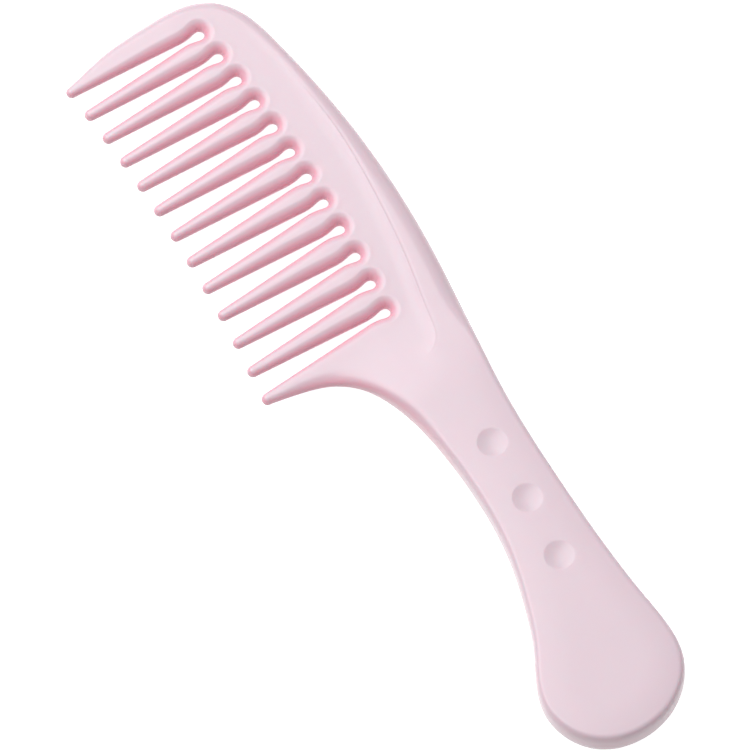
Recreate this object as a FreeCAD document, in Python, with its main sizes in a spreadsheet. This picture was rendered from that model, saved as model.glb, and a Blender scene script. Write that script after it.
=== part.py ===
import FreeCAD, Part
import math
import os
import re
import Sketcher
from FreeCAD import Vector

# Wide tooth comb, lying flat. Millimetres, +Z up, teeth towards -Y, handle towards +X.
# The origin is under the middle of the comb, on the surface that it lies on.
# The comb is one moulding, so each node is a region of it, and regions meet face to face.

DIMENSIONS = [
    ("handle_thick", 9.0),       # thickness of the handle, the thickest region
    ("spine_thick", 8.0),        # thickness of the ridge along the back, where it meets the neck
    ("spine_nose_thick", 6.2),   # and at its nose end
    ("blade_thick", 5.6),        # thickness of the recessed panel above the teeth
    ("root_thick", 5.4),         # a tooth's thickness at its root
    ("tip_thick", 3.2),          # a tooth's thickness and width where its round tip starts
    ("handle_round", 2.4),       # radius along the edges of neck, grip and pommel
    ("spine_round", 2.2),        # radius along the back of the spine
    ("blade_round", 1.5),        # radius along the nose
    ("end_tooth_round", 1.3),    # radius along the rear tooth
    ("root_line_y", 5.0),        # where the teeth meet the blade
    ("root_gap", 1.45),          # gap between two teeth there
    ("first_slot_x", -110.2),    # middle of the slot nearest the nose
    ("slot_pitch", 8.03),        # from the first slot to the second
    ("pitch_growth", 0.087),     # what each next pitch is wider by
    ("nose_width", 9.05),        # the front tooth's width at its root, and half way down
    ("nose_mid_width", 7.3),
    ("front_tip_y", -28.7),      # the front tooth's tip, and its shift from the root's middle
    ("front_tip_shift", 1.05),
    ("bulb_radius", 1.35),       # round end of a slot
    ("bulb_crest_x", -64.5),     # the slot ends lie on a shallow arc, highest here
    ("bulb_crest_y", 12.6),
    ("bulb_bow", 0.00128),       # the arc falls by bow times distance squared
    ("sink_radius", 3.3),        # funnel round each slot end
    ("sink_depth", 1.6),
    ("tip_crest_x", -75.0),      # the tips lie on a shallow arc too
    ("tip_crest_y", -26.85),
    ("tip_bow", 0.00117),
    ("taper_drop", 3.0),         # the rear tooth's taper ends this far below the highest tip
    ("taper_spare", 9.0),        # and its cutter reaches this far below that tip
    ("dimple_radius", 4.1),
    ("dimple_depth", 0.6),
    ("spine_start_x", -104.0),   # where the spine rises behind the nose
    ("head_end_x", -4.0),        # where the head meets the neck
    ("ramp_end_x", 2.0),         # where the neck reaches the handle's thickness
    ("grip_start_x", 22.0),      # where the neck meets the grip
    ("grip_end_x", 88.0),        # where the grip meets the pommel
]

SLOT_COUNT = 12
DIMPLE_CENTRES = [(30.3, 13.3), (48.5, 12.8), (66.6, 11.3)]

# Outline from the front tooth's tip, over the back and round the pommel, to the rear tooth's tip.
OUTLINE_POINTS = [
    (-115.8, -27.4), (-116.7, -23.5), (-118.6, -15.5), (-119.7, -6.0), (-120.0, 2.0),
    (-119.5, 10.0), (-116.6, 17.3), (-110.0, 22.9), (-98.0, 26.4), (-75.0, 29.8),
    (-50.0, 31.1), (-25.0, 29.8), (0.0, 26.6), (20.0, 24.2), (45.0, 23.3),
    (70.0, 23.6), (88.0, 24.8), (99.0, 25.6), (108.0, 24.0), (115.0, 18.6),
    (119.2, 10.5), (120.0, 3.5), (118.7, -3.2), (115.0, -9.2), (108.5, -13.5),
    (100.5, -14.7), (93.5, -12.7), (85.0, -8.2), (72.0, -3.1), (57.0, 0.8),
    (40.0, 2.3), (23.0, 1.6), (8.0, -1.4), (-1.5, -6.4), (-6.9, -13.2),
    (-9.6, -21.5), (-11.2, -29.2),
]
REAR_TIP = (-12.9, -31.1)
REAR_TIP_INNER_X = -14.4

# Crease between the blade and the spine, from the nose to the neck.
CREASE_POINTS = [(-104.0, 21.6), (-88.0, 24.1), (-66.0, 25.9), (-46.0, 24.6), (-26.0, 21.8), (-4.0, 17.4)]

doc = FreeCAD.newDocument("wide_tooth_comb")
sheet = doc.addObject("Spreadsheet::Sheet", "Dimensions")
for row, (alias, size) in enumerate(DIMENSIONS, start=1):
    sheet.set(f"A{row}", alias)
    sheet.set(f"B{row}", str(size))
    sheet.setAlias(f"B{row}", alias)
doc.recompute()


def dim(alias):
    """A driving dimension's value."""
    return float(sheet.get(alias))


def bind(thing, **formulas):
    """Bind properties to formulas. Each word in a formula is a cell of the sheet."""
    for name, formula in formulas.items():
        cells = re.sub(r"[a-z_]{3,}", lambda word: "Dimensions." + word.group(), formula)
        thing.setExpression(name.replace("__", "."), cells)


def place(thing, across, along, up="0"):
    """Bind a feature's or body's place to formulas for X, Y and Z."""
    bind(thing, Placement__Base__x=across, Placement__Base__y=along, Placement__Base__z=up)


# ---------------------------------------------------------------- where the slots and teeth are

def slot_x(index):
    """Formula for the middle of a slot. The pitch grows steadily towards the handle."""
    return f"(first_slot_x + {index} * slot_pitch + {index * (index - 1) / 2} * pitch_growth)"


def tooth_x(number):
    """Formula for the middle of an inner tooth, half way between two slots."""
    return f"(({slot_x(number - 1)} + {slot_x(number)}) / 2)"


def bulb_y(index):
    return f"(bulb_crest_y - bulb_bow * ({slot_x(index)} - bulb_crest_x) ^ 2)"


def tip_y(number):
    return f"(tip_crest_y - tip_bow * ({tooth_x(number)} - tip_crest_x) ^ 2)"


# ---------------------------------------------------------------- bodies, sketches and features

def new_body(label):
    """A body whose middle plane is half a handle's thickness above the surface."""
    body = doc.addObject("PartDesign::Body", label)
    body.Label = label
    place(body, "0", "0", "handle_thick / 2")
    return body


def new_sketch(body, name, role):
    """An empty sketch on one of the body's origin planes."""
    sketch = body.newObject("Sketcher::SketchObject", name)
    plane = next(item for item in body.Origin.OriginFeatures if item.Role == role)
    sketch.AttachmentSupport = [(plane, "")]
    sketch.MapMode = "FlatFace"
    return sketch


def fixed_sketch(body, name, curves):
    """A closed outline on the middle plane whose curves stay where they are."""
    sketch = new_sketch(body, name, "XY_Plane")
    for curve in curves:
        sketch.addConstraint(Sketcher.Constraint("Block", sketch.addGeometry(curve)))
    return sketch


def polygon_sketch(body, name, role, polygons):
    """Closed polygons whose corners are bound to formulas. A start value only helps the solver."""
    sketch = new_sketch(body, name, role)
    for polygon in polygons:
        starts = [Vector(corner[2], corner[3], 0) for corner in polygon]
        first = sketch.GeometryCount
        for here, start in enumerate(starts):
            after = starts[(here + 1) % len(starts)]
            sketch.addGeometry(Part.LineSegment(start, after))
        for here, (across, upward, start_x, start_y) in enumerate(polygon):
            edge = first + here
            following = first + (here + 1) % len(polygon)
            sketch.addConstraint(Sketcher.Constraint("Coincident", edge, 2, following, 1))
            for kind, formula, start in (("DistanceX", across, start_x), ("DistanceY", upward, start_y)):
                index = sketch.addConstraint(Sketcher.Constraint(kind, -1, 1, edge, 1, start))
                sketch.renameConstraint(index, f"{kind}{edge}")
                bind(sketch, **{f"Constraints__{kind}{edge}": formula})
    return sketch


def pad(body, curves, thickness):
    """A plate of the given outline, half above and half below the middle plane."""
    feature = body.newObject("PartDesign::Pad", "Plate")
    feature.Profile = fixed_sketch(body, "Outline", curves)
    feature.Midplane = True
    bind(feature, Length=thickness)
    doc.recompute()
    return feature


def pocket_through(body, name, sketch):
    """Cut a sketch through the whole body, both ways, and check that it removed something."""
    before = body.Shape.Volume
    feature = body.newObject("PartDesign::Pocket", name)
    feature.Profile = sketch
    feature.Midplane = True
    feature.Type = 1
    doc.recompute()
    if body.Shape.Volume >= before:
        raise RuntimeError(f"{body.Label}: {name} cuts nothing")
    return feature


def slope_faces(body, thin_x, thin, thick_x, thick):
    """Slope both faces of a plate from its full thickness down to a smaller one, along X."""
    wedges = []
    for sign, way in (("", 0.5), ("-", -0.5)):
        wedges.append([
            (thin_x, f"{sign}{thin} / 2", dim(thin_x), way * dim(thin)),
            (thick_x, f"{sign}{thick} / 2", dim(thick_x), way * dim(thick)),
            (thin_x, f"{sign}{thick} / 2", dim(thin_x), way * dim(thick)),
        ])
    pocket_through(body, "Slope", polygon_sketch(body, "SlopeSides", "XZ_Plane", wedges))


def primitive(body, kind, name, sizes, across, along, up="0"):
    """A PartDesign primitive with bound sizes and place."""
    feature = body.newObject("PartDesign::" + kind, name)
    bind(feature, **sizes)
    place(feature, across, along, up)
    return feature


def round_outline(body, radius, keep):
    """Round the edges of both faces that the keep function picks by their midpoint."""
    names = []
    for number, edge in enumerate(body.Shape.Edges, start=1):
        middle = edge.valueAt((edge.FirstParameter + edge.LastParameter) / 2)
        middle.z -= dim("handle_thick") / 2
        if abs(middle.z) > 1 and keep(edge, middle):
            names.append(f"Edge{number}")
    base = body.Tip
    feature = body.newObject("PartDesign::Fillet", "RoundedEdges")
    feature.Base = (base, names)
    bind(feature, Radius=radius)
    doc.recompute()
    return feature


# ---------------------------------------------------------------- the outline and its stretches

def spline(points):
    curve = Part.BSplineCurve()
    curve.interpolate([Vector(x, y, 0) for x, y in points])
    return curve


OUTLINE = spline(OUTLINE_POINTS)
CREASE = spline(CREASE_POINTS)
OUTLINE_SHAPE = OUTLINE.toShape()


def crossings(start, end):
    """Where a straight line crosses the outline, in the outline's own order."""
    line = Part.LineSegment(Vector(*start, 0), Vector(*end, 0))
    points = [Vector(point.X, point.Y, point.Z) for point in OUTLINE.intersectCC(line)]
    return sorted(OUTLINE.parameter(point) for point in points)


def crossings_at_x(alias):
    return crossings((dim(alias), -60), (dim(alias), 60))


def stretch(first, last):
    """The outline between two of its parameters."""
    curve = OUTLINE.copy()
    curve.segment(first, last)
    return curve


def line(start, end):
    return Part.LineSegment(start, end)


def on_outline(edge, middle):
    """True for an edge that follows the outline rather than a cut between regions."""
    point = Part.Vertex(middle.x, middle.y, 0)
    return point.distToShape(OUTLINE_SHAPE)[0] < 0.02


NOSE = crossings((-125, dim("root_line_y")), (-100, dim("root_line_y")))[0]
SPINE_START = crossings_at_x("spine_start_x")[0]
HEAD_BACK, HEAD_UNDER = crossings_at_x("head_end_x")[0], crossings_at_x("head_end_x")[-1]
GRIP_BACK, GRIP_UNDER = crossings_at_x("grip_start_x")
POMMEL_BACK, POMMEL_UNDER = crossings_at_x("grip_end_x")


# ---------------------------------------------------------------- the head

def make_spine():
    body = new_body("spine")
    back = stretch(SPINE_START, HEAD_BACK)
    pad(body, [
        back,
        line(back.EndPoint, CREASE.EndPoint),
        CREASE.copy(),
        line(CREASE.StartPoint, back.StartPoint),
    ], "spine_thick")
    slope_faces(body, "spine_start_x", "spine_nose_thick", "head_end_x", "spine_thick")
    round_outline(body, "spine_round", on_outline)


def cut_slot(body, index):
    """A keyhole slot: a straight neck, a round end and a funnel round that end on each face."""
    across, along = slot_x(index), bulb_y(index)
    deep = "2 * blade_thick"
    primitive(body, "SubtractiveCylinder", f"SlotEnd{index}", {"Radius": "bulb_radius", "Height": deep},
              across, along, "-blade_thick")
    primitive(body, "SubtractiveBox", f"SlotNeck{index}",
              {"Length": "root_gap", "Width": f"{along} - root_line_y + 1", "Height": deep},
              f"{across} - root_gap / 2", "root_line_y - 1", "-blade_thick")
    for side, radii in (("Top", ("bulb_radius", "sink_radius")), ("Under", ("sink_radius", "bulb_radius"))):
        low = "blade_thick / 2 - sink_depth" if side == "Top" else "-blade_thick / 2"
        primitive(body, "SubtractiveCone", f"Funnel{side}{index}",
                  {"Radius1": radii[0], "Radius2": radii[1], "Height": "sink_depth"}, across, along, low)


def make_blade():
    body = new_body("blade")
    nose = stretch(NOSE, SPINE_START)
    corner = Vector(dim("head_end_x"), dim("root_line_y"), 0)
    pad(body, [
        nose,
        line(nose.EndPoint, CREASE.StartPoint),
        CREASE.copy(),
        line(CREASE.EndPoint, corner),
        line(corner, nose.StartPoint),
    ], "blade_thick")
    round_outline(body, "blade_round", on_outline)
    for index in range(SLOT_COUNT):
        cut_slot(body, index)
    doc.recompute()


def place_section(sketch, below, shift):
    """Put a tooth's section this far below its root, and this far along the comb."""
    bind(sketch, AttachmentOffset__Base__z=below, AttachmentOffset__Base__x=shift)


def oval_section(body, name, width, thickness, below, shift="0"):
    """An elliptical section of a tooth."""
    sketch = new_sketch(body, name, "XZ_Plane")
    place_section(sketch, below, shift)
    half_width, half_thickness = dim("nose_mid_width") / 2, dim("tip_thick") / 2
    ellipse = Part.Ellipse(Vector(half_width, 0, 0), Vector(0, half_thickness, 0), Vector(0, 0, 0))
    outline = sketch.addGeometry(ellipse)
    sketch.exposeInternalGeometry(outline)
    long_axis, short_axis = outline + 1, outline + 2
    sketch.addConstraint(Sketcher.Constraint("Coincident", outline, 3, -1, 1))
    sketch.addConstraint(Sketcher.Constraint("Horizontal", long_axis))
    for label, axis, start, formula in (("width", long_axis, half_width, width),
                                        ("thickness", short_axis, half_thickness, thickness)):
        index = sketch.addConstraint(Sketcher.Constraint("Distance", axis, 2 * start))
        sketch.renameConstraint(index, label)
        bind(sketch, **{f"Constraints__{label}": formula})
    return sketch


def round_section(body, name, below, shift="0"):
    """The circular section where a tooth's round tip starts."""
    sketch = new_sketch(body, name, "XZ_Plane")
    place_section(sketch, below, shift)
    outline = sketch.addGeometry(Part.Circle(Vector(0, 0, 0), Vector(0, 0, 1), dim("tip_thick") / 2))
    sketch.addConstraint(Sketcher.Constraint("Coincident", outline, 3, -1, 1))
    index = sketch.addConstraint(Sketcher.Constraint("Radius", outline, dim("tip_thick") / 2))
    sketch.renameConstraint(index, "radius")
    bind(sketch, Constraints__radius="tip_thick / 2")
    return sketch


def add_round_tip(body, below, shift="0"):
    """A half ball on the end of a tooth's shank: a quarter disc turned about the tooth's axis."""
    radius = dim("tip_thick") / 2
    sketch = new_sketch(body, "TipProfile", "XY_Plane")
    bind(sketch, AttachmentOffset__Base__x=shift, AttachmentOffset__Base__y=f"-({below})")
    circle = Part.Circle(Vector(0, 0, 0), Vector(0, 0, 1), radius)
    arc = sketch.addGeometry(Part.ArcOfCircle(circle, -math.pi / 2, 0))
    axis = sketch.addGeometry(line(Vector(0, -radius, 0), Vector(0, 0, 0)))
    across = sketch.addGeometry(line(Vector(0, 0, 0), Vector(radius, 0, 0)))
    for first, first_end, second, second_end in (
            (arc, 3, -1, 1), (arc, 1, axis, 1), (axis, 2, -1, 1), (across, 1, -1, 1), (across, 2, arc, 2)):
        sketch.addConstraint(Sketcher.Constraint("Coincident", first, first_end, second, second_end))
    sketch.addConstraint(Sketcher.Constraint("Vertical", axis))
    sketch.addConstraint(Sketcher.Constraint("Horizontal", across))
    index = sketch.addConstraint(Sketcher.Constraint("Radius", arc, radius))
    sketch.renameConstraint(index, "radius")
    bind(sketch, Constraints__radius="tip_thick / 2")
    tip = body.newObject("PartDesign::Revolution", "Tip")
    tip.Profile = sketch
    tip.ReferenceAxis = (sketch, ["V_Axis"])
    tip.Angle = 360


def make_inner_tooth(number):
    """A tooth that tapers from an elliptical root to a round tip."""
    body = new_body(f"tooth_{number:02d}")
    place(body, tooth_x(number), "root_line_y", "handle_thick / 2")
    shank = f"root_line_y - {tip_y(number)} - tip_thick / 2"
    root_width = f"{slot_x(number)} - {slot_x(number - 1)} - root_gap"
    loft = body.newObject("PartDesign::AdditiveLoft", "Shank")
    loft.Profile = oval_section(body, "Root", root_width, "root_thick", "0")
    loft.Sections = [round_section(body, "TipStart", shank)]
    doc.recompute()
    add_round_tip(body, shank)


def make_front_tooth():
    """The broad front tooth. Its outer side bulges, so it has a section half way down."""
    body = new_body("front_tooth")
    place(body, "first_slot_x - root_gap / 2 - nose_width / 2", "root_line_y", "handle_thick / 2")
    shank = "root_line_y - front_tip_y - tip_thick / 2"
    loft = body.newObject("PartDesign::AdditiveLoft", "Shank")
    loft.Profile = oval_section(body, "Root", "nose_width", "root_thick", "0")
    loft.Sections = [
        oval_section(body, "Middle", "nose_mid_width", "(root_thick + tip_thick) / 2", f"({shank}) / 2"),
        round_section(body, "TipStart", shank, "front_tip_shift"),
    ]
    doc.recompute()
    add_round_tip(body, shank, "front_tip_shift")


def taper_end_tooth(body):
    """Thin a plate from the blade's thickness at the root line to the tip's thickness."""
    root, half, thin = dim("root_line_y"), dim("blade_thick") / 2, dim("tip_thick") / 2
    tip, low = dim("tip_crest_y") - dim("taper_drop"), dim("tip_crest_y") - dim("taper_spare")
    wedges = []
    for sign in ("", "-"):
        way = -1 if sign else 1
        wedges.append([
            ("root_line_y", f"{sign}blade_thick / 2", root, way * half),
            ("tip_crest_y - taper_drop", f"{sign}tip_thick / 2", tip, way * thin),
            ("tip_crest_y - taper_spare", f"{sign}tip_thick / 2", low, way * thin),
            ("tip_crest_y - taper_spare", f"{sign}blade_thick", low, way * 2 * half),
            ("root_line_y", f"{sign}blade_thick", root, way * 2 * half),
        ])
    pocket_through(body, "Taper", polygon_sketch(body, "TaperSides", "YZ_Plane", wedges))


def make_rear_tooth():
    """The rear tooth flares into the neck: a thinned plate, rounded on its free edges."""
    body = new_body("rear_tooth")
    outer = stretch(HEAD_UNDER, OUTLINE.LastParameter)
    steps = SLOT_COUNT - 1
    last_slot_x = (dim("first_slot_x") + steps * dim("slot_pitch")
                   + steps * (steps - 1) / 2 * dim("pitch_growth"))
    root = Vector(last_slot_x + dim("root_gap") / 2, dim("root_line_y"), 0)
    corner = Vector(dim("head_end_x"), dim("root_line_y"), 0)
    inner = Vector(REAR_TIP_INNER_X, outer.EndPoint.y, 0)
    pad(body, [
        line(corner, outer.StartPoint),
        outer,
        Part.Arc(outer.EndPoint, Vector(*REAR_TIP, 0), inner),
        line(inner, root),
        line(root, corner),
    ], "blade_thick")
    taper_end_tooth(body)

    def free(edge, middle):
        return middle.y < dim("root_line_y") - 0.5 and abs(middle.x - dim("head_end_x")) > 0.5

    round_outline(body, "end_tooth_round", free)


# ---------------------------------------------------------------- the handle

def make_neck():
    """The neck thickens from the spine's thickness to the handle's."""
    body = new_body("neck")
    back, under = stretch(HEAD_BACK, GRIP_BACK), stretch(GRIP_UNDER, HEAD_UNDER)
    pad(body, [
        back,
        line(back.EndPoint, under.StartPoint),
        under,
        line(under.EndPoint, back.StartPoint),
    ], "handle_thick")
    slope_faces(body, "head_end_x", "spine_thick", "ramp_end_x", "handle_thick")
    round_outline(body, "handle_round", on_outline)


def make_grip():
    """The handle's grip, with three shallow round dimples in each face."""
    body = new_body("handle_grip")
    back, under = stretch(GRIP_BACK, POMMEL_BACK), stretch(POMMEL_UNDER, GRIP_UNDER)
    pad(body, [
        back,
        line(back.EndPoint, under.StartPoint),
        under,
        line(under.EndPoint, back.StartPoint),
    ], "handle_thick")
    round_outline(body, "handle_round", on_outline)
    ball = "((dimple_radius ^ 2 + dimple_depth ^ 2) / (2 * dimple_depth))"
    for number, (across, along) in enumerate(DIMPLE_CENTRES, start=1):
        for side, sign in (("Top", ""), ("Under", "-")):
            primitive(body, "SubtractiveSphere", f"Dimple{side}{number}", {"Radius": ball},
                      str(across), str(along), f"{sign}(handle_thick / 2 - dimple_depth + {ball})")


def make_pommel():
    body = new_body("pommel")
    end = stretch(POMMEL_BACK, POMMEL_UNDER)
    pad(body, [end, line(end.EndPoint, end.StartPoint)], "handle_thick")
    round_outline(body, "handle_round", on_outline)


make_front_tooth()
for number in range(1, SLOT_COUNT):
    make_inner_tooth(number)
make_rear_tooth()
make_blade()
make_spine()
make_neck()
make_grip()
make_pommel()
doc.recompute()

bodies = [item for item in doc.Objects if item.TypeId == "PartDesign::Body"]
for item in doc.Objects:
    if "Invalid" in item.State or "Error" in item.State:
        raise RuntimeError(f"{item.Name} failed: {item.State}")
for body in bodies:
    if body.Shape.isNull() or not body.Shape.isValid() or len(body.Shape.Solids) != 1:
        raise RuntimeError(f"{body.Label} has no single valid solid")

os.makedirs("parts", exist_ok=True)
for body in bodies:
    body.Shape.exportStep(f"parts/{body.Label}.step")
    print(f"{body.Label}: {body.Shape.Volume:.0f} mm3")
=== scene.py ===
import math

import bpy
import numpy as np
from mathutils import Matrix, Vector
from mathutils.geometry import delaunay_2d_cdt
from mathutils.kdtree import KDTree


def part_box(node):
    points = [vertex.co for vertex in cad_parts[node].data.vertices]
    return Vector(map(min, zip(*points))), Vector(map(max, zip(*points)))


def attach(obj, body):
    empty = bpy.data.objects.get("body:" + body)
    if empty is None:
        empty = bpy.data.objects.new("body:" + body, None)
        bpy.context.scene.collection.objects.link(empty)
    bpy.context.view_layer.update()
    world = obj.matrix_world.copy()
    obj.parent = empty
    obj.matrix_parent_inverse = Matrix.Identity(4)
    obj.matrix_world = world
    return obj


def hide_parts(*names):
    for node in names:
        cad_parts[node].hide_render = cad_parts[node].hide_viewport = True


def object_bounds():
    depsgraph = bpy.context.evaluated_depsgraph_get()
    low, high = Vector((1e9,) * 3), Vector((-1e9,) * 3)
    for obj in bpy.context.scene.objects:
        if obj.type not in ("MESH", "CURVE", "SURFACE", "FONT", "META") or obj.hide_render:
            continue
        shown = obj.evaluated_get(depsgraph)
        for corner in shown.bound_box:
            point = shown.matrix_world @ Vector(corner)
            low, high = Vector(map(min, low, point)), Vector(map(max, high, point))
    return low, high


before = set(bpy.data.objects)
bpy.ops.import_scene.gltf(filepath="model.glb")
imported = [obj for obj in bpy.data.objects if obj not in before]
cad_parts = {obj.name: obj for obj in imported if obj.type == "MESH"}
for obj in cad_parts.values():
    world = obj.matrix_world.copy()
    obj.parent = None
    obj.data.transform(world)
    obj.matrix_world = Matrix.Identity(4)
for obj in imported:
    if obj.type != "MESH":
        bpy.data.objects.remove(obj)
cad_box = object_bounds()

# A pale pink wide tooth comb in one moulding. Lengths in this script are millimetres in the
# frame's axes, and MM turns them into Blender's metres when a mesh or a light is made.
MM = 0.001

# ------------------------------------------------------------------ sizes from the frame


def box_mm(node):
    low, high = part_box(node)
    return np.array(low) / MM, np.array(high) / MM


INNER_TEETH = sorted(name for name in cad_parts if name.startswith("tooth_"))
TOOTH_BOXES = [box_mm(name) for name in ["front_tooth"] + INNER_TEETH + ["rear_tooth"]]
SLOT_COUNT = len(TOOTH_BOXES) - 1

MIDDLE_Z = (cad_box[0].z + cad_box[1].z) / 2 / MM
HANDLE_HALF = (cad_box[1].z - cad_box[0].z) / 2 / MM
ROOT_Y = TOOTH_BOXES[1][1][1]
BLADE_HALF = float(box_mm("blade")[1][2] - box_mm("blade")[0][2]) / 2
SPINE_HALF = float(box_mm("spine")[1][2] - box_mm("spine")[0][2]) / 2
HEAD_END_X = float(box_mm("neck")[0][0])

SLOT_X = [(TOOTH_BOXES[i][1][0] + TOOTH_BOXES[i + 1][0][0]) / 2 for i in range(SLOT_COUNT)]

# ------------------------------------------------------------------ the moulding's own shape

TIP_RADIUS = 1.6
SPINE_HALF_NOSE = 3.1       # half the spine's thickness at its nose end, growing to SPINE_HALF
SPINE_START_X = -104.0      # where it starts to grow
SLOT_ARC = (-64.5, 12.6, 0.00128)       # crest x, crest y and bow of the arc of slot ends

# Outline from the front tooth's tip, over the back and round the pommel, to the rear tooth's tip.
OUTLINE = [
    (-115.8, -27.4), (-116.7, -23.5), (-118.6, -15.5), (-119.65, -6.0), (-119.95, 2.0),
    (-119.5, 10.0), (-116.6, 17.3), (-110.0, 22.9), (-98.0, 26.4), (-75.0, 29.8),
    (-50.0, 31.07), (-25.0, 29.8), (0.0, 26.6), (20.0, 24.2), (45.0, 23.3),
    (70.0, 23.6), (88.0, 24.8), (99.0, 25.6), (108.0, 24.0), (115.0, 18.6),
    (119.2, 10.5), (120.0, 3.5), (118.7, -3.2), (115.0, -9.2), (108.5, -13.5),
    (100.5, -14.7), (93.5, -12.7), (85.0, -8.2), (72.0, -3.1), (57.0, 0.8),
    (40.0, 2.3), (23.0, 1.6), (8.0, -1.4), (-1.5, -6.4), (-6.9, -13.2),
    (-9.6, -21.5), (-11.2, -29.2),
]
FRONT_TIP = (-114.4, -28.7)
REAR_TIP = (-12.9, -31.1)

# One side of a slot's drop-shaped end, from below its neck to its widest, about the end's centre.
SLOT_END = [(0.93, -9.5), (0.74, -6.4), (0.67, -4.7), (0.77, -3.2), (1.03, -1.7), (1.31, -0.2), (1.02, 0.85)]
SLOT_TOP = (0.0, 1.35)

# Crease between the blade and the spine. It fades in behind the nose and hooks down at the neck.
CREASE = [(-112.0, 19.6), (-88.0, 24.1), (-66.0, 25.9), (-46.0, 24.6), (-26.0, 21.8),
          (-9.0, 18.3), (-2.6, 16.2), (-0.2, 13.0), (0.4, 8.0)]

FILLET_WIDTH = 3.5          # concave rise from the blade up to the crease
GROOVE_PAST = 0.45          # a fine groove just behind the crease
GROOVE_WIDTH = 0.32
GROOVE_DEPTH = 0.10
RIM_HEIGHT = 0.05           # faint raised rim round the slots' ends
RIM_WIDTH = 0.45
DIMPLES = [(30.3, 13.3), (48.5, 12.8), (66.6, 11.3)]
DIMPLE_RADIUS = 4.1
DIMPLE_DEPTH = 0.5

EDGE_WIDTH_SLOT = 2.8       # how far in from a slot the face starts to round over
EDGE_WIDTH_NOSE = 3.4
EDGE_WIDTH_SPINE = 4.9
EDGE_WIDTH_HANDLE = 2.0
CROWN_HEIGHT = 0.4
CROWN_WIDTH = 10.0
CREASE_OFFSETS = (0, 0.15, 0.3, 0.45, 0.65, 0.9, -0.2, -0.45, 1.2, -0.8, 1.6, -1.3, 2.1, -1.9, -2.6)
DIMPLE_RINGS = (1.0, 0.94, 1.06, 0.84, 1.18, 0.7, 0.55, 0.4, 0.22, 0)    # shares of the radius

HANDLE_FULLNESS = 3.3       # how upright the edges are: 2 is an ellipse
TEETH_FULLNESS = 1.9
BACK_FULLNESS = 2.2
CROOK_EXTRA = 2.2           # the edge reaches this much further in under the neck
# Painted shade: strengths of the deep pink on the outer edge and on the crook's wall under the neck.
OUTER_SHADE = 0.1            # how strong the painted shade is along the outer edge, against 1 between the teeth
CROOK_SHADE = 0.6

# Stretches along x or y over which one law gives way to the next, from where it starts.
NOSE_WIDTH_X = (-122, -104)
SPINE_WIDTH_X = (-98, -70)
BACK_WIDTH_Y = (15, 19)
BACK_FULLNESS_Y = (15, 20)
HANDLE_WIDTH_X = (-12, 6)
HANDLE_FULLNESS_X = (-14, 8)
TOOTH_SHARE = 0.92          # of a tooth's half width that its rounding may take

EDGE_ROWS = 9               # rows of vertices over a rounded edge
EXTRA_ROWS = [0.92, 1.1]    # and two more, in shares of the edge's width
STEEP_REACH = 0.45          # rows nearer the outline than this are all kept
BACK_SPACING = 0.7          # distance between vertices along the back and the handle
SIDE_SPACING = 0.6          # along the teeth's sides
END_SPACING = 0.26          # round the slots' ends
TIP_SPACING = 0.25          # round the teeth's tips
FACE_SPACING = 0.85         # on the open faces


def smooth(value, start, end):
    """0 before start, 1 after end and an S-curve between, on numbers or arrays."""
    t = np.clip((value - start) / (end - start), 0, 1)
    return t * t * (3 - 2 * t)


def spline_through(points, steps=40):
    """A natural cubic spline through points, spaced by chord length, as a fine polyline."""
    points = np.array(points, float)
    gaps = np.linalg.norm(np.diff(points, axis=0), axis=1)
    count = len(points)
    system = np.eye(count)
    right = np.zeros((count, 2))
    slopes = np.diff(points, axis=0) / gaps[:, None]
    for i in range(1, count - 1):
        system[i, i - 1:i + 2] = gaps[i - 1], 2 * (gaps[i - 1] + gaps[i]), gaps[i]
        right[i] = 6 * (slopes[i] - slopes[i - 1])
    bend = np.linalg.solve(system, right)
    line = []
    for i, gap in enumerate(gaps):
        t = np.linspace(0, gap, steps, endpoint=False)[:, None]
        slope = slopes[i] - gap * (2 * bend[i] + bend[i + 1]) / 6
        change = (bend[i + 1] - bend[i]) / (6 * gap)
        line.append(points[i] + slope * t + bend[i] / 2 * t ** 2 + change * t ** 3)
    return np.vstack(line + [points[-1:]])


def evenly(line, spacing):
    """A polyline cut again into equal steps, without its last point."""
    along = np.concatenate([[0], np.cumsum(np.linalg.norm(np.diff(line, axis=0), axis=1))])
    count = max(2, round(along[-1] / spacing))
    at = np.linspace(0, along[-1], count, endpoint=False)
    return np.stack([np.interp(at, along, line[:, axis]) for axis in (0, 1)], axis=1)


def arc_through(start, middle, end, steps=40):
    """A circular arc through three points."""
    a, b, c = (complex(*point) for point in (start, middle, end))
    w = (c - a) / (b - a)
    centre = (b - a) * (w - abs(w) ** 2) / (2j * w.imag) + a
    radius = abs(a - centre)
    first, mid, last = (np.angle(point - centre) for point in (a, b, c))
    turn = (last - first) % (2 * np.pi)
    if (mid - first) % (2 * np.pi) > turn:
        turn -= 2 * np.pi
    angles = first + np.linspace(0, turn, steps)
    return np.stack([centre.real + radius * np.cos(angles), centre.imag + radius * np.sin(angles)], axis=1)


def slot_end_y(x):
    crest_x, crest_y, bow = SLOT_ARC
    return crest_y - bow * (x - crest_x) ** 2


def tooth_tip(index):
    """The lowest point of a tooth's outline."""
    if index == 0:
        return FRONT_TIP
    if index == SLOT_COUNT:
        return REAR_TIP
    low, high = TOOTH_BOXES[index]
    return ((low[0] + high[0]) / 2, low[1])


def tip_side(index, side):
    """Where a tooth's straight side meets its round tip, on the nose's side (-1) or the other (1)."""
    x, y = tooth_tip(index)
    return (x + side * TIP_RADIUS, y + TIP_RADIUS * 0.94)


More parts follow.
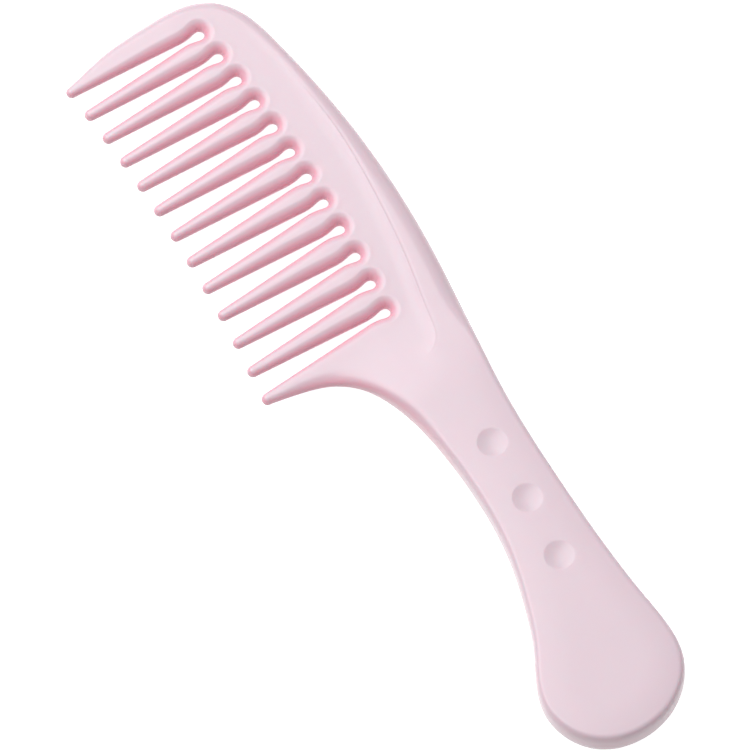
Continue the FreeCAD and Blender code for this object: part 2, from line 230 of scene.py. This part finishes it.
def slot_stretches(index):
    """A slot's outline, up its right side, over its round end and down its left side."""
    centre_x = SLOT_X[index]
    centre_y = slot_end_y(centre_x)
    right = [(centre_x + across, centre_y + up) for across, up in SLOT_END]
    left = [(centre_x - across, centre_y + up) for across, up in SLOT_END]
    top = (centre_x + SLOT_TOP[0], centre_y + SLOT_TOP[1])
    return [
        evenly(np.array([tip_side(index + 1, -1), right[0]]), SIDE_SPACING),
        evenly(spline_through(right + [top] + left[::-1]), END_SPACING),
        evenly(np.array([left[0], tip_side(index, 1)]), SIDE_SPACING),
    ]


def tip_stretch(index):
    """A tooth's round tip, from its right side to its left."""
    start = OUTLINE[-1] if index == SLOT_COUNT else tip_side(index, 1)
    end = OUTLINE[0] if index == 0 else tip_side(index, -1)
    return evenly(arc_through(start, tooth_tip(index), end), TIP_SPACING)


def comb_outline():
    """The whole outline, clockwise: over the back, round the pommel, then tooth by tooth."""
    stretches = [evenly(spline_through(OUTLINE), BACK_SPACING)]
    for index in range(SLOT_COUNT, 0, -1):
        stretches.append(tip_stretch(index))
        stretches.extend(slot_stretches(index - 1))
    stretches.append(tip_stretch(0))
    return np.vstack(stretches)


def inward(outline):
    """Unit vectors into the comb along its clockwise outline, evened out over neighbours."""
    along = np.roll(outline, -1, axis=0) - np.roll(outline, 1, axis=0)
    normal = np.stack([along[:, 1], -along[:, 0]], axis=1)
    for _ in range(2):
        normal /= np.linalg.norm(normal, axis=1)[:, None]
        normal = (np.roll(normal, 1, axis=0) + 2 * normal + np.roll(normal, -1, axis=0)) / 4
    return normal / np.linalg.norm(normal, axis=1)[:, None]


class Line:
    """A polyline that answers how far points are from it, and on which side they lie."""

    def __init__(self, points, closed):
        self.start = points if closed else points[:-1]
        self.step = (np.roll(points, -1, axis=0) if closed else points[1:])[:len(self.start)] - self.start
        self.tree = KDTree(len(self.start))
        for index, middle in enumerate(self.start + self.step / 2):
            self.tree.insert((*middle, 0), index)
        self.tree.balance()

    def signed_distance(self, points):
        """Distance, positive to the right of the line's direction."""
        count = len(self.start)
        nearest = np.array([self.tree.find((*point, 0))[1] for point in points])
        best = np.full(len(points), np.inf)
        side = np.ones(len(points))
        for shift in (-1, 0, 1):
            index = (nearest + shift) % count
            start, step = self.start[index], self.step[index]
            offset = points - start
            t = np.clip((offset * step).sum(1) / (step ** 2).sum(1), 0, 1)[:, None]
            gap = np.linalg.norm(offset - step * t, axis=1)
            cross = step[:, 1] * offset[:, 0] - step[:, 0] * offset[:, 1]
            closer = gap < best
            best = np.where(closer, gap, best)
            side = np.where(closer, np.sign(cross), side)
        return best * side


# ------------------------------------------------------------------ thickness and edge laws

def down_tooth(points):
    """0 at the teeth's roots, 1 where their round tips start."""
    tip_y = np.mean([low[1] for low, high in TOOTH_BOXES]) + TIP_RADIUS
    return np.clip((ROOT_Y - points[:, 1]) / (ROOT_Y - tip_y), 0, 1)


def edge_width(points):
    """How far in from the outline the rounded edge reaches."""
    x, y = points[:, 0], points[:, 1]
    root_half = (TOOTH_BOXES[6][1][0] - TOOTH_BOXES[6][0][0]) / 2
    half = root_half + (TIP_RADIUS - root_half) * down_tooth(points)
    tooth = np.minimum(EDGE_WIDTH_SLOT, TOOTH_SHARE * half)
    back = EDGE_WIDTH_HANDLE + (EDGE_WIDTH_NOSE - EDGE_WIDTH_HANDLE) * smooth(x, *NOSE_WIDTH_X)
    back = back + (EDGE_WIDTH_SPINE - EDGE_WIDTH_NOSE) * smooth(x, *SPINE_WIDTH_X)
    head = tooth + (back - tooth) * smooth(y, *BACK_WIDTH_Y)
    crook = CROOK_EXTRA * smooth(x, -14, -8) * smooth(x, 26, 8) * smooth(y, -33, -20) * smooth(y, 8, 3)
    return head + (EDGE_WIDTH_HANDLE - head) * smooth(x, *HANDLE_WIDTH_X) + crook


def edge_fullness(points):
    """2 where the edge is elliptical, less where it slopes, more where its wall is upright."""
    x, y = points[:, 0], points[:, 1]
    back = smooth(y, *BACK_FULLNESS_Y)
    head = TEETH_FULLNESS + (BACK_FULLNESS - TEETH_FULLNESS) * back
    return head + (HANDLE_FULLNESS - head) * smooth(x, *HANDLE_FULLNESS_X)


def painted_shade_strength(points, outline):
    """How strong the painted shade is: 1 near the slots and the gaps between the teeth, and less near the
    comb's outer edge.
    """
    outer_count = len(evenly(spline_through(OUTLINE), BACK_SPACING))
    to_outer = np.abs(Line(outline[:outer_count + 1], closed=False).signed_distance(points))
    to_slots = np.abs(Line(outline[outer_count:], closed=False).signed_distance(points))
    x, y = points[:, 0], points[:, 1]
    crook = smooth(x, -22, -10) * smooth(x, 40, 5) * smooth(y, 10, 2)
    outer_shade = OUTER_SHADE + (CROOK_SHADE - OUTER_SHADE) * crook
    return outer_shade + (1 - outer_shade) * smooth(to_outer - to_slots, -0.5, 1.5)


def half_thickness(points, past_crease):
    """Height of the open face above the middle plane."""
    x = points[:, 0]
    plain = BLADE_HALF + (TIP_RADIUS - BLADE_HALF) * down_tooth(points)
    ramp = smooth(x + 0.3 * (points[:, 1] - 10), -16, 10)
    hook = smooth(points[:, 1], 15.5, 8.5) * smooth(x, -30, -12)
    fillet = np.clip((past_crease + FILLET_WIDTH) / FILLET_WIDTH, 0, 1) ** 2
    soft = smooth(past_crease, -1.5, 2.5)
    plain_end = 1 - smooth(x, -98, -62)
    lip = fillet + (soft - fillet) * plain_end
    lip *= smooth(x, -112, -86) * (1 - hook)
    groove = np.exp(-((past_crease - GROOVE_PAST) / GROOVE_WIDTH) ** 2) * (1 - plain_end) * (1 - hook)
    along_head = np.clip((x - SPINE_START_X) / (HEAD_END_X - SPINE_START_X), 0, 1)
    spine = SPINE_HALF_NOSE + (SPINE_HALF - SPINE_HALF_NOSE) * along_head
    ridge = spine + (HANDLE_HALF - spine) * smooth(x, HEAD_END_X - 8, HEAD_END_X + 14)
    rise = 1 - (1 - ramp) * (1 - lip)
    return plain + (ridge - plain) * rise - GROOVE_DEPTH * groove * (1 - ramp)


def rim(points, away):
    """Height of the faint rim where the face starts to round over into a slot's end."""
    x, y = points[:, 0], points[:, 1]
    end_y = slot_end_y(x)
    near_end = smooth(y, end_y - 2.5, end_y) * smooth(x, -10, -13)
    return RIM_HEIGHT * near_end * np.exp(-((away - EDGE_WIDTH_SLOT) / RIM_WIDTH) ** 2) * smooth(y, 21, 18)


def crown(points):
    """How much of the thickness is a gentle crown over the whole width, handle only."""
    return CROWN_HEIGHT * smooth(points[:, 0], -10, 20)


def dimple(points):
    """Depth of the shallow round dimples."""
    depth = np.zeros(len(points))
    for centre in DIMPLES:
        away = np.linalg.norm(points - centre, axis=1) / DIMPLE_RADIUS
        depth = np.maximum(depth, DIMPLE_DEPTH * np.clip(1 - away ** 2, 0, 1))
    return depth


# ------------------------------------------------------------------ the flat plan and its vertices

class Sieve:
    """Keeps points that are far enough from the ones kept before."""

    def __init__(self, cell):
        self.cell = cell
        self.bins = {}
        self.kept = []

    def add(self, points, gap):
        for x, y in points:
            column, row = int(x // self.cell), int(y // self.cell)
            near = [point for i in (-1, 0, 1) for j in (-1, 0, 1)
                    for point in self.bins.get((column + i, row + j), ())]
            if all((x - a) ** 2 + (y - b) ** 2 >= gap * gap for a, b in near):
                self.bins.setdefault((column, row), []).append((x, y))
                self.kept.append((x, y))


def edge_rows(outline, border):
    """Rows of points over the rounded edge, closer together where it is steep."""
    normal, width = inward(outline), edge_width(outline)
    rows = []
    steps = [1 - math.cos(math.pi / 2 * row / EDGE_ROWS) for row in range(1, EDGE_ROWS + 1)]
    for step in steps + EXTRA_ROWS:
        reach = width * step
        points = outline + normal * reach[:, None]
        inside = border.signed_distance(points) >= reach - 0.02
        rows.append((points[inside], float(reach.mean())))
    return rows


def crease_rows(border):
    """Rows beside the crease, so that its step stays crisp."""
    crease = evenly(spline_through(CREASE), 0.6)
    normal = inward(crease)[1:-1]
    rows = [crease[1:-1] + normal * offset for offset in CREASE_OFFSETS]
    return [row[border.signed_distance(row) > edge_width(row) * 0.5] for row in rows]


def dimple_rows():
    rows = []
    for centre in DIMPLES:
        for part in DIMPLE_RINGS:
            count = max(1, round(2 * math.pi * DIMPLE_RADIUS * part / 0.55))
            angles = np.arange(count) * 2 * np.pi / count
            ring = np.stack([np.cos(angles), np.sin(angles)], axis=1) * DIMPLE_RADIUS * part
            rows.append(ring + centre)
    return rows


def face_points(border):
    """A triangular lattice over the open faces."""
    (low_x, low_y), (high_x, high_y) = [(corner.x / MM, corner.y / MM) for corner in cad_box]
    step_y = FACE_SPACING * math.sqrt(3) / 2
    rows = []
    for number, y in enumerate(np.arange(low_y, high_y, step_y)):
        x = np.arange(low_x, high_x, FACE_SPACING) + (number % 2) * FACE_SPACING / 2
        rows.append(np.stack([x, np.full(len(x), y)], axis=1))
    lattice = np.vstack(rows)
    away = border.signed_distance(lattice)
    return lattice[away > edge_width(lattice) + 0.3 * FACE_SPACING]


def plan_points(outline, border):
    """The outline's points first, then all the points inside it."""
    sieve = Sieve(FACE_SPACING)
    for row in crease_rows(border):
        sieve.add(row, 0.12)
    for row in dimple_rows():
        sieve.add(row, 0.15)
    steep = []
    for points, reach in edge_rows(outline, border):
        if reach < STEEP_REACH:
            steep.extend(points)
        else:
            sieve.add(points, 0.16)
    sieve.add(face_points(border), 0.55 * FACE_SPACING)
    return np.vstack([outline, steep, sieve.kept])


def make_plan():
    """The comb's flat plan as a mesh that carries the laws of its thickness."""
    outline = comb_outline()
    border = Line(outline, closed=True)
    points = [Vector(point) for point in plan_points(outline, border)]
    triangulated = delaunay_2d_cdt(points, [], [list(range(len(outline)))], 1, 1e-6)
    corners = np.array([tuple(corner) for corner in triangulated[0]])
    mesh = bpy.data.meshes.new("comb_plan")
    mesh.from_pydata([(x * MM, y * MM, 0) for x, y in corners], [], triangulated[2])
    past_crease = -Line(spline_through(CREASE), closed=False).signed_distance(corners)
    away = border.signed_distance(corners)
    laws = {
        "edge_width": edge_width(corners) * MM,
        "half_thickness": (half_thickness(corners, past_crease) + rim(corners, away)) * MM,
        "crown": crown(corners) * MM,
        "dimple": dimple(corners) * MM,
        "edge_fullness": edge_fullness(corners),
        "painted_shade_strength": painted_shade_strength(corners, outline),
    }
    for name, values in laws.items():
        mesh.attributes.new(name, "FLOAT", "POINT").data.foreach_set("value", values.astype(np.float32))
    plan = bpy.data.objects.new("comb_moulding", mesh)
    bpy.context.scene.collection.objects.link(plan)
    return plan


# ------------------------------------------------------------------ node trees

class Wire:
    """An output socket of a node. Arithmetic on it adds Math nodes to its tree."""

    def __init__(self, tree, socket):
        self.tree = tree
        self.socket = socket

    def calc(self, operation, first, second=None):
        node = self.tree.nodes.new("ShaderNodeMath")
        node.operation = operation
        self.tree_plug(first, node.inputs[0])
        if second is not None:
            self.tree_plug(second, node.inputs[1])
        return Wire(self.tree, node.outputs[0])

    def tree_plug(self, value, socket):
        if isinstance(value, Wire):
            self.tree.links.new(value.socket, socket)
        else:
            socket.default_value = value

    def __add__(self, other):
        return self.calc("ADD", self, other)

    def __radd__(self, other):
        return self.calc("ADD", other, self)

    def __sub__(self, other):
        return self.calc("SUBTRACT", self, other)

    def __rsub__(self, other):
        return self.calc("SUBTRACT", other, self)

    def __mul__(self, other):
        return self.calc("MULTIPLY", self, other)

    def __truediv__(self, other):
        return self.calc("DIVIDE", self, other)

    def __rtruediv__(self, other):
        return self.calc("DIVIDE", other, self)

    def __pow__(self, other):
        return self.calc("POWER", self, other)

    def at_most(self, other):
        return self.calc("MINIMUM", self, other)


def add_node(tree, kind, settings=None, **inputs):
    """Adds a node: its settings first, then the values or links of its sockets, _ for a space."""
    node = tree.nodes.new(kind)
    for name, value in (settings or {}).items():
        setattr(node, name, value)
    for name, value in inputs.items():
        socket = node.inputs[int(name[1:])] if name[1:].isdigit() else node.inputs[name.replace("_", " ")]
        if isinstance(value, Wire):
            tree.links.new(value.socket, socket)
        elif value is not None:
            socket.default_value = value
    return node


def out(tree, node, name=0):
    return Wire(tree, node.outputs[name])


# ------------------------------------------------------------------ the moulding from its plan

def law(tree, name):
    """One of the laws that the plan carries, as a field."""
    named = add_node(tree, "GeometryNodeInputNamedAttribute", {"data_type": "FLOAT"}, Name=name)
    return out(tree, named, "Attribute")


def moulding_tree():
    """Raises both faces of a flat plan by its laws, and welds them along the outline."""
    tree = bpy.data.node_groups.new("moulding_from_plan", "GeometryNodeTree")
    face = tree.interface.new_socket
    face("Geometry", in_out="INPUT", socket_type="NodeSocketGeometry")
    for name, value in (("Middle height", 0.0045), ("Crown width", 0.01)):
        face(name, in_out="INPUT", socket_type="NodeSocketFloat").default_value = value
    face("Plastic", in_out="INPUT", socket_type="NodeSocketMaterial")
    face("Geometry", in_out="OUTPUT", socket_type="NodeSocketGeometry")
    given = add_node(tree, "NodeGroupInput")
    plan, fullness = out(tree, given, "Geometry"), law(tree, "edge_fullness")

    neighbours = add_node(tree, "GeometryNodeInputMeshEdgeNeighbors")
    rim = add_node(tree, "FunctionNodeCompare", {"data_type": "INT", "operation": "EQUAL"},
                   _2=out(tree, neighbours), _3=1)
    outline = add_node(tree, "GeometryNodeMeshToCurve", Mesh=plan, Selection=out(tree, rim))
    outline_mesh = add_node(tree, "GeometryNodeCurveToMesh", Curve=out(tree, outline))
    near = add_node(tree, "GeometryNodeProximity", {"target_element": "EDGES"},
                    Geometry=out(tree, outline_mesh))
    away = out(tree, near, "Distance")

    up_edge = 1 - (away / law(tree, "edge_width")).at_most(1)
    rounded = (1 - up_edge ** fullness) ** (1 / fullness)
    up_crown = 1 - (away / out(tree, given, "Crown width")).at_most(1)
    crowned = law(tree, "crown") * (up_crown ** 2)
    height = (law(tree, "half_thickness") - crowned) * rounded - law(tree, "dimple")
    # Stores how far down the rounded edge each point is, times the painted shade's strength, for the
    # material's painted shade.
    marked = add_node(tree, "GeometryNodeStoreNamedAttribute", {"data_type": "FLOAT", "domain": "POINT"},
                      Geometry=plan, Name="painted_edge_shade", Value=(1 - rounded) * law(tree, "painted_shade_strength"))
    plan = out(tree, marked)

    faces = []
    for way in (1, -1):
        shift = add_node(tree, "ShaderNodeCombineXYZ", Z=height * way)
        raised = add_node(tree, "GeometryNodeSetPosition", Geometry=plan, Offset=out(tree, shift))
        if way < 0:
            raised = add_node(tree, "GeometryNodeFlipFaces", Mesh=out(tree, raised))
        faces.append(out(tree, raised))
    joined = tree.nodes.new("GeometryNodeJoinGeometry")
    for side in reversed(faces):
        tree.links.new(side.socket, joined.inputs[0])
    welded = add_node(tree, "GeometryNodeMergeByDistance", Geometry=out(tree, joined), Distance=1e-6)
    lift = add_node(tree, "ShaderNodeCombineXYZ", Z=out(tree, given, "Middle height"))
    lifted = add_node(tree, "GeometryNodeSetPosition", Geometry=out(tree, welded), Offset=out(tree, lift))
    shaded = add_node(tree, "GeometryNodeSetShadeSmooth", Geometry=out(tree, lifted))
    real = add_node(tree, "GeometryNodeRealizeInstances", Geometry=out(tree, shaded))
    coated = add_node(tree, "GeometryNodeSetMaterial", Geometry=out(tree, real),
                      Material=out(tree, given, "Plastic"))
    result = tree.nodes.new("NodeGroupOutput")
    tree.links.new(coated.outputs[0], result.inputs[0])
    return tree


def run_tree(piece, tree, values):
    """Runs a node tree on a piece and leaves the result as its plain mesh."""
    modifier = piece.modifiers.new(tree.name, "NODES")
    modifier.node_group = tree
    for item in tree.interface.items_tree:
        if item.in_out == "INPUT" and item.name in values:
            modifier[item.identifier] = values[item.name]
    evaluated = piece.evaluated_get(bpy.context.evaluated_depsgraph_get())
    mesh = bpy.data.meshes.new_from_object(evaluated)
    piece.modifiers.remove(modifier)
    old = piece.data
    piece.data = mesh
    mesh.name = piece.name
    bpy.data.meshes.remove(old)


# ------------------------------------------------------------------ materials

FACE_PINK = (0.73, 0.582, 0.648, 1)
FACE_PINK_WARM = (0.75, 0.592, 0.658, 1)
# Painted shade: a deep pink laid over the rounded edges, for light bounced and scattered between the teeth.
PAINTED_SHADE_PINK = (1.0, 0.33, 0.45, 1)
SHADE_RISE = 1.9                 # how fast the painted shade's deep pink comes in over a rounded edge
SHADE_MOST = 0.45                # and how much of it there is at most


def noise(tree, place, scale, detail, roughness):
    """A noise texture's value, on the comb's own coordinates."""
    return out(tree, add_node(tree, "ShaderNodeTexNoise", Vector=place, Scale=scale, Detail=detail,
                              Roughness=roughness))


def set_values(shader, **values):
    """Constants of a shader's sockets, _ for a space."""
    for name, value in values.items():
        shader.inputs[name.replace("_", " ")].default_value = value


def comb_plastic():
    """Pale pink moulded plastic: semi-gloss, with painted shade: deeper pink down the rounded edges between
    the teeth, for light bounced between them.
    """
    material = bpy.data.materials.new("comb_plastic")
    material.use_nodes = True
    tree = material.node_tree
    shader = tree.nodes["Principled BSDF"]
    place = out(tree, add_node(tree, "ShaderNodeTexCoord"), "Object")
    cloud = noise(tree, place, 45.0, 3.0, 0.5)
    shade_depth = out(tree, add_node(tree, "ShaderNodeAttribute", {"attribute_name": "painted_edge_shade"}), "Fac")
    face = add_node(tree, "ShaderNodeMix", {"data_type": "RGBA"}, _0=cloud,
                    _6=FACE_PINK, _7=FACE_PINK_WARM)
    # Painted shade: the deep pink is mixed in down the rounded edges, up to a cap.
    shade_mix = add_node(tree, "ShaderNodeMix", {"data_type": "RGBA"}, _0=(shade_depth * SHADE_RISE).at_most(SHADE_MOST),
                    _6=out(tree, face, 2), _7=PAINTED_SHADE_PINK)
    tree.links.new(shade_mix.outputs[2], shader.inputs["Base Color"])
    haze = noise(tree, place, 120.0, 4.0, 0.6)
    rough = 0.32 + haze * 0.08
    tree.links.new(rough.socket, shader.inputs["Roughness"])
    grain = noise(tree, place, 2200.0, 2.0, 0.5)
    swell = noise(tree, place, 160.0, 1.0, 0.4)
    relief = add_node(tree, "ShaderNodeBump", Strength=0.05, Distance=0.0002,
                      Height=swell * 0.8 + grain * 0.05)
    tree.links.new(relief.outputs[0], shader.inputs["Normal"])
    set_values(shader, Subsurface_Weight=0.5, Subsurface_Radius=(1.0, 0.35, 0.45), Subsurface_Scale=0.003)
    set_values(shader, IOR=1.5, Coat_Weight=0.5, Coat_Roughness=0.25)
    return material


def floor_paper():
    material = bpy.data.materials.new("floor_paper")
    material.use_nodes = True
    tree = material.node_tree
    shader = tree.nodes["Principled BSDF"]
    set_values(shader, Base_Color=(0.9, 0.9, 0.9, 1), Roughness=0.9, Specular_IOR_Level=0.1)
    set_values(shader, Emission_Color=(1, 1, 1, 1), Emission_Strength=0.8)
    return material


# ------------------------------------------------------------------ the scene

CAMERA_AZIMUTH = 57.96
CAMERA_ELEVATION = 68.23
CAMERA_DISTANCE = 8000.0
VIEW_WIDTH = 197.53             # width of the view at the comb
AIM = (-3.66, -1.85)            # where the middle of the view meets the comb's middle plane
KEY_AZIMUTH = 290.0             # the light stands beyond the nose, a little to the teeth's side
KEY_ELEVATION = 58.0
KEY_DISTANCE = 1500.0
KEY_SIZE = 1730.0
KEY_POWER = 22.0
WORLD_STRENGTH = 0.40
FLOOR_HALF = 12000.0


def direction(azimuth, elevation):
    """Unit vector towards a place seen at an azimuth and an elevation, in degrees."""
    a, e = math.radians(azimuth), math.radians(elevation)
    return Vector((math.sin(a) * math.cos(e), -math.cos(a) * math.cos(e), math.sin(e)))


def make_camera():
    data = bpy.data.cameras.new("camera")
    data.sensor_width = 36.0
    data.lens = data.sensor_width * CAMERA_DISTANCE / VIEW_WIDTH
    data.clip_start, data.clip_end = 0.1, 40
    camera = bpy.data.objects.new("camera", data)
    bpy.context.scene.collection.objects.link(camera)
    back = direction(CAMERA_AZIMUTH, CAMERA_ELEVATION)
    camera.location = Vector((*AIM, MIDDLE_Z)) * MM + back * CAMERA_DISTANCE * MM
    camera.rotation_mode = "QUATERNION"
    camera.rotation_quaternion = (-back).to_track_quat("-Z", "Y")
    bpy.context.scene.camera = camera


def make_softbox():
    data = bpy.data.lights.new("key_softbox", "AREA")
    data.shape = "DISK"
    data.size = KEY_SIZE * MM
    data.energy = KEY_POWER
    light = bpy.data.objects.new("key_softbox", data)
    bpy.context.scene.collection.objects.link(light)
    way = direction(KEY_AZIMUTH, KEY_ELEVATION)
    light.location = way * KEY_DISTANCE * MM
    light.rotation_mode = "QUATERNION"
    light.rotation_quaternion = (-way).to_track_quat("-Z", "Y")


def make_floor():
    half = FLOOR_HALF * MM
    mesh = bpy.data.meshes.new("floor")
    corners = [(-half, -half, 0), (half, -half, 0), (half, half, 0), (-half, half, 0)]
    mesh.from_pydata(corners, [], [(0, 1, 2, 3)])
    mesh.materials.append(floor_paper())
    floor = bpy.data.objects.new("floor", mesh)
    bpy.context.scene.collection.objects.link(floor)
    floor.visible_diffuse = False


def make_world():
    world = bpy.data.worlds.new("studio")
    world.use_nodes = True
    background = world.node_tree.nodes["Background"]
    set_values(background, Color=(1.0, 1.0, 1.0, 1), Strength=WORLD_STRENGTH)
    bpy.context.scene.world = world


def make_comb():
    comb = make_plan()
    run_tree(comb, moulding_tree(), {
        "Middle height": MIDDLE_Z * MM,
        "Crown width": CROWN_WIDTH * MM,
        "Plastic": comb_plastic(),
    })
    for spare in ("edge_width", "half_thickness", "crown", "dimple", "edge_fullness", "painted_shade_strength"):
        comb.data.attributes.remove(comb.data.attributes[spare])
    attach(comb, "root")
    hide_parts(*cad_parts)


make_comb()
make_camera()
make_softbox()
make_floor()
make_world()
bpy.context.scene.view_settings.view_transform = "Standard"
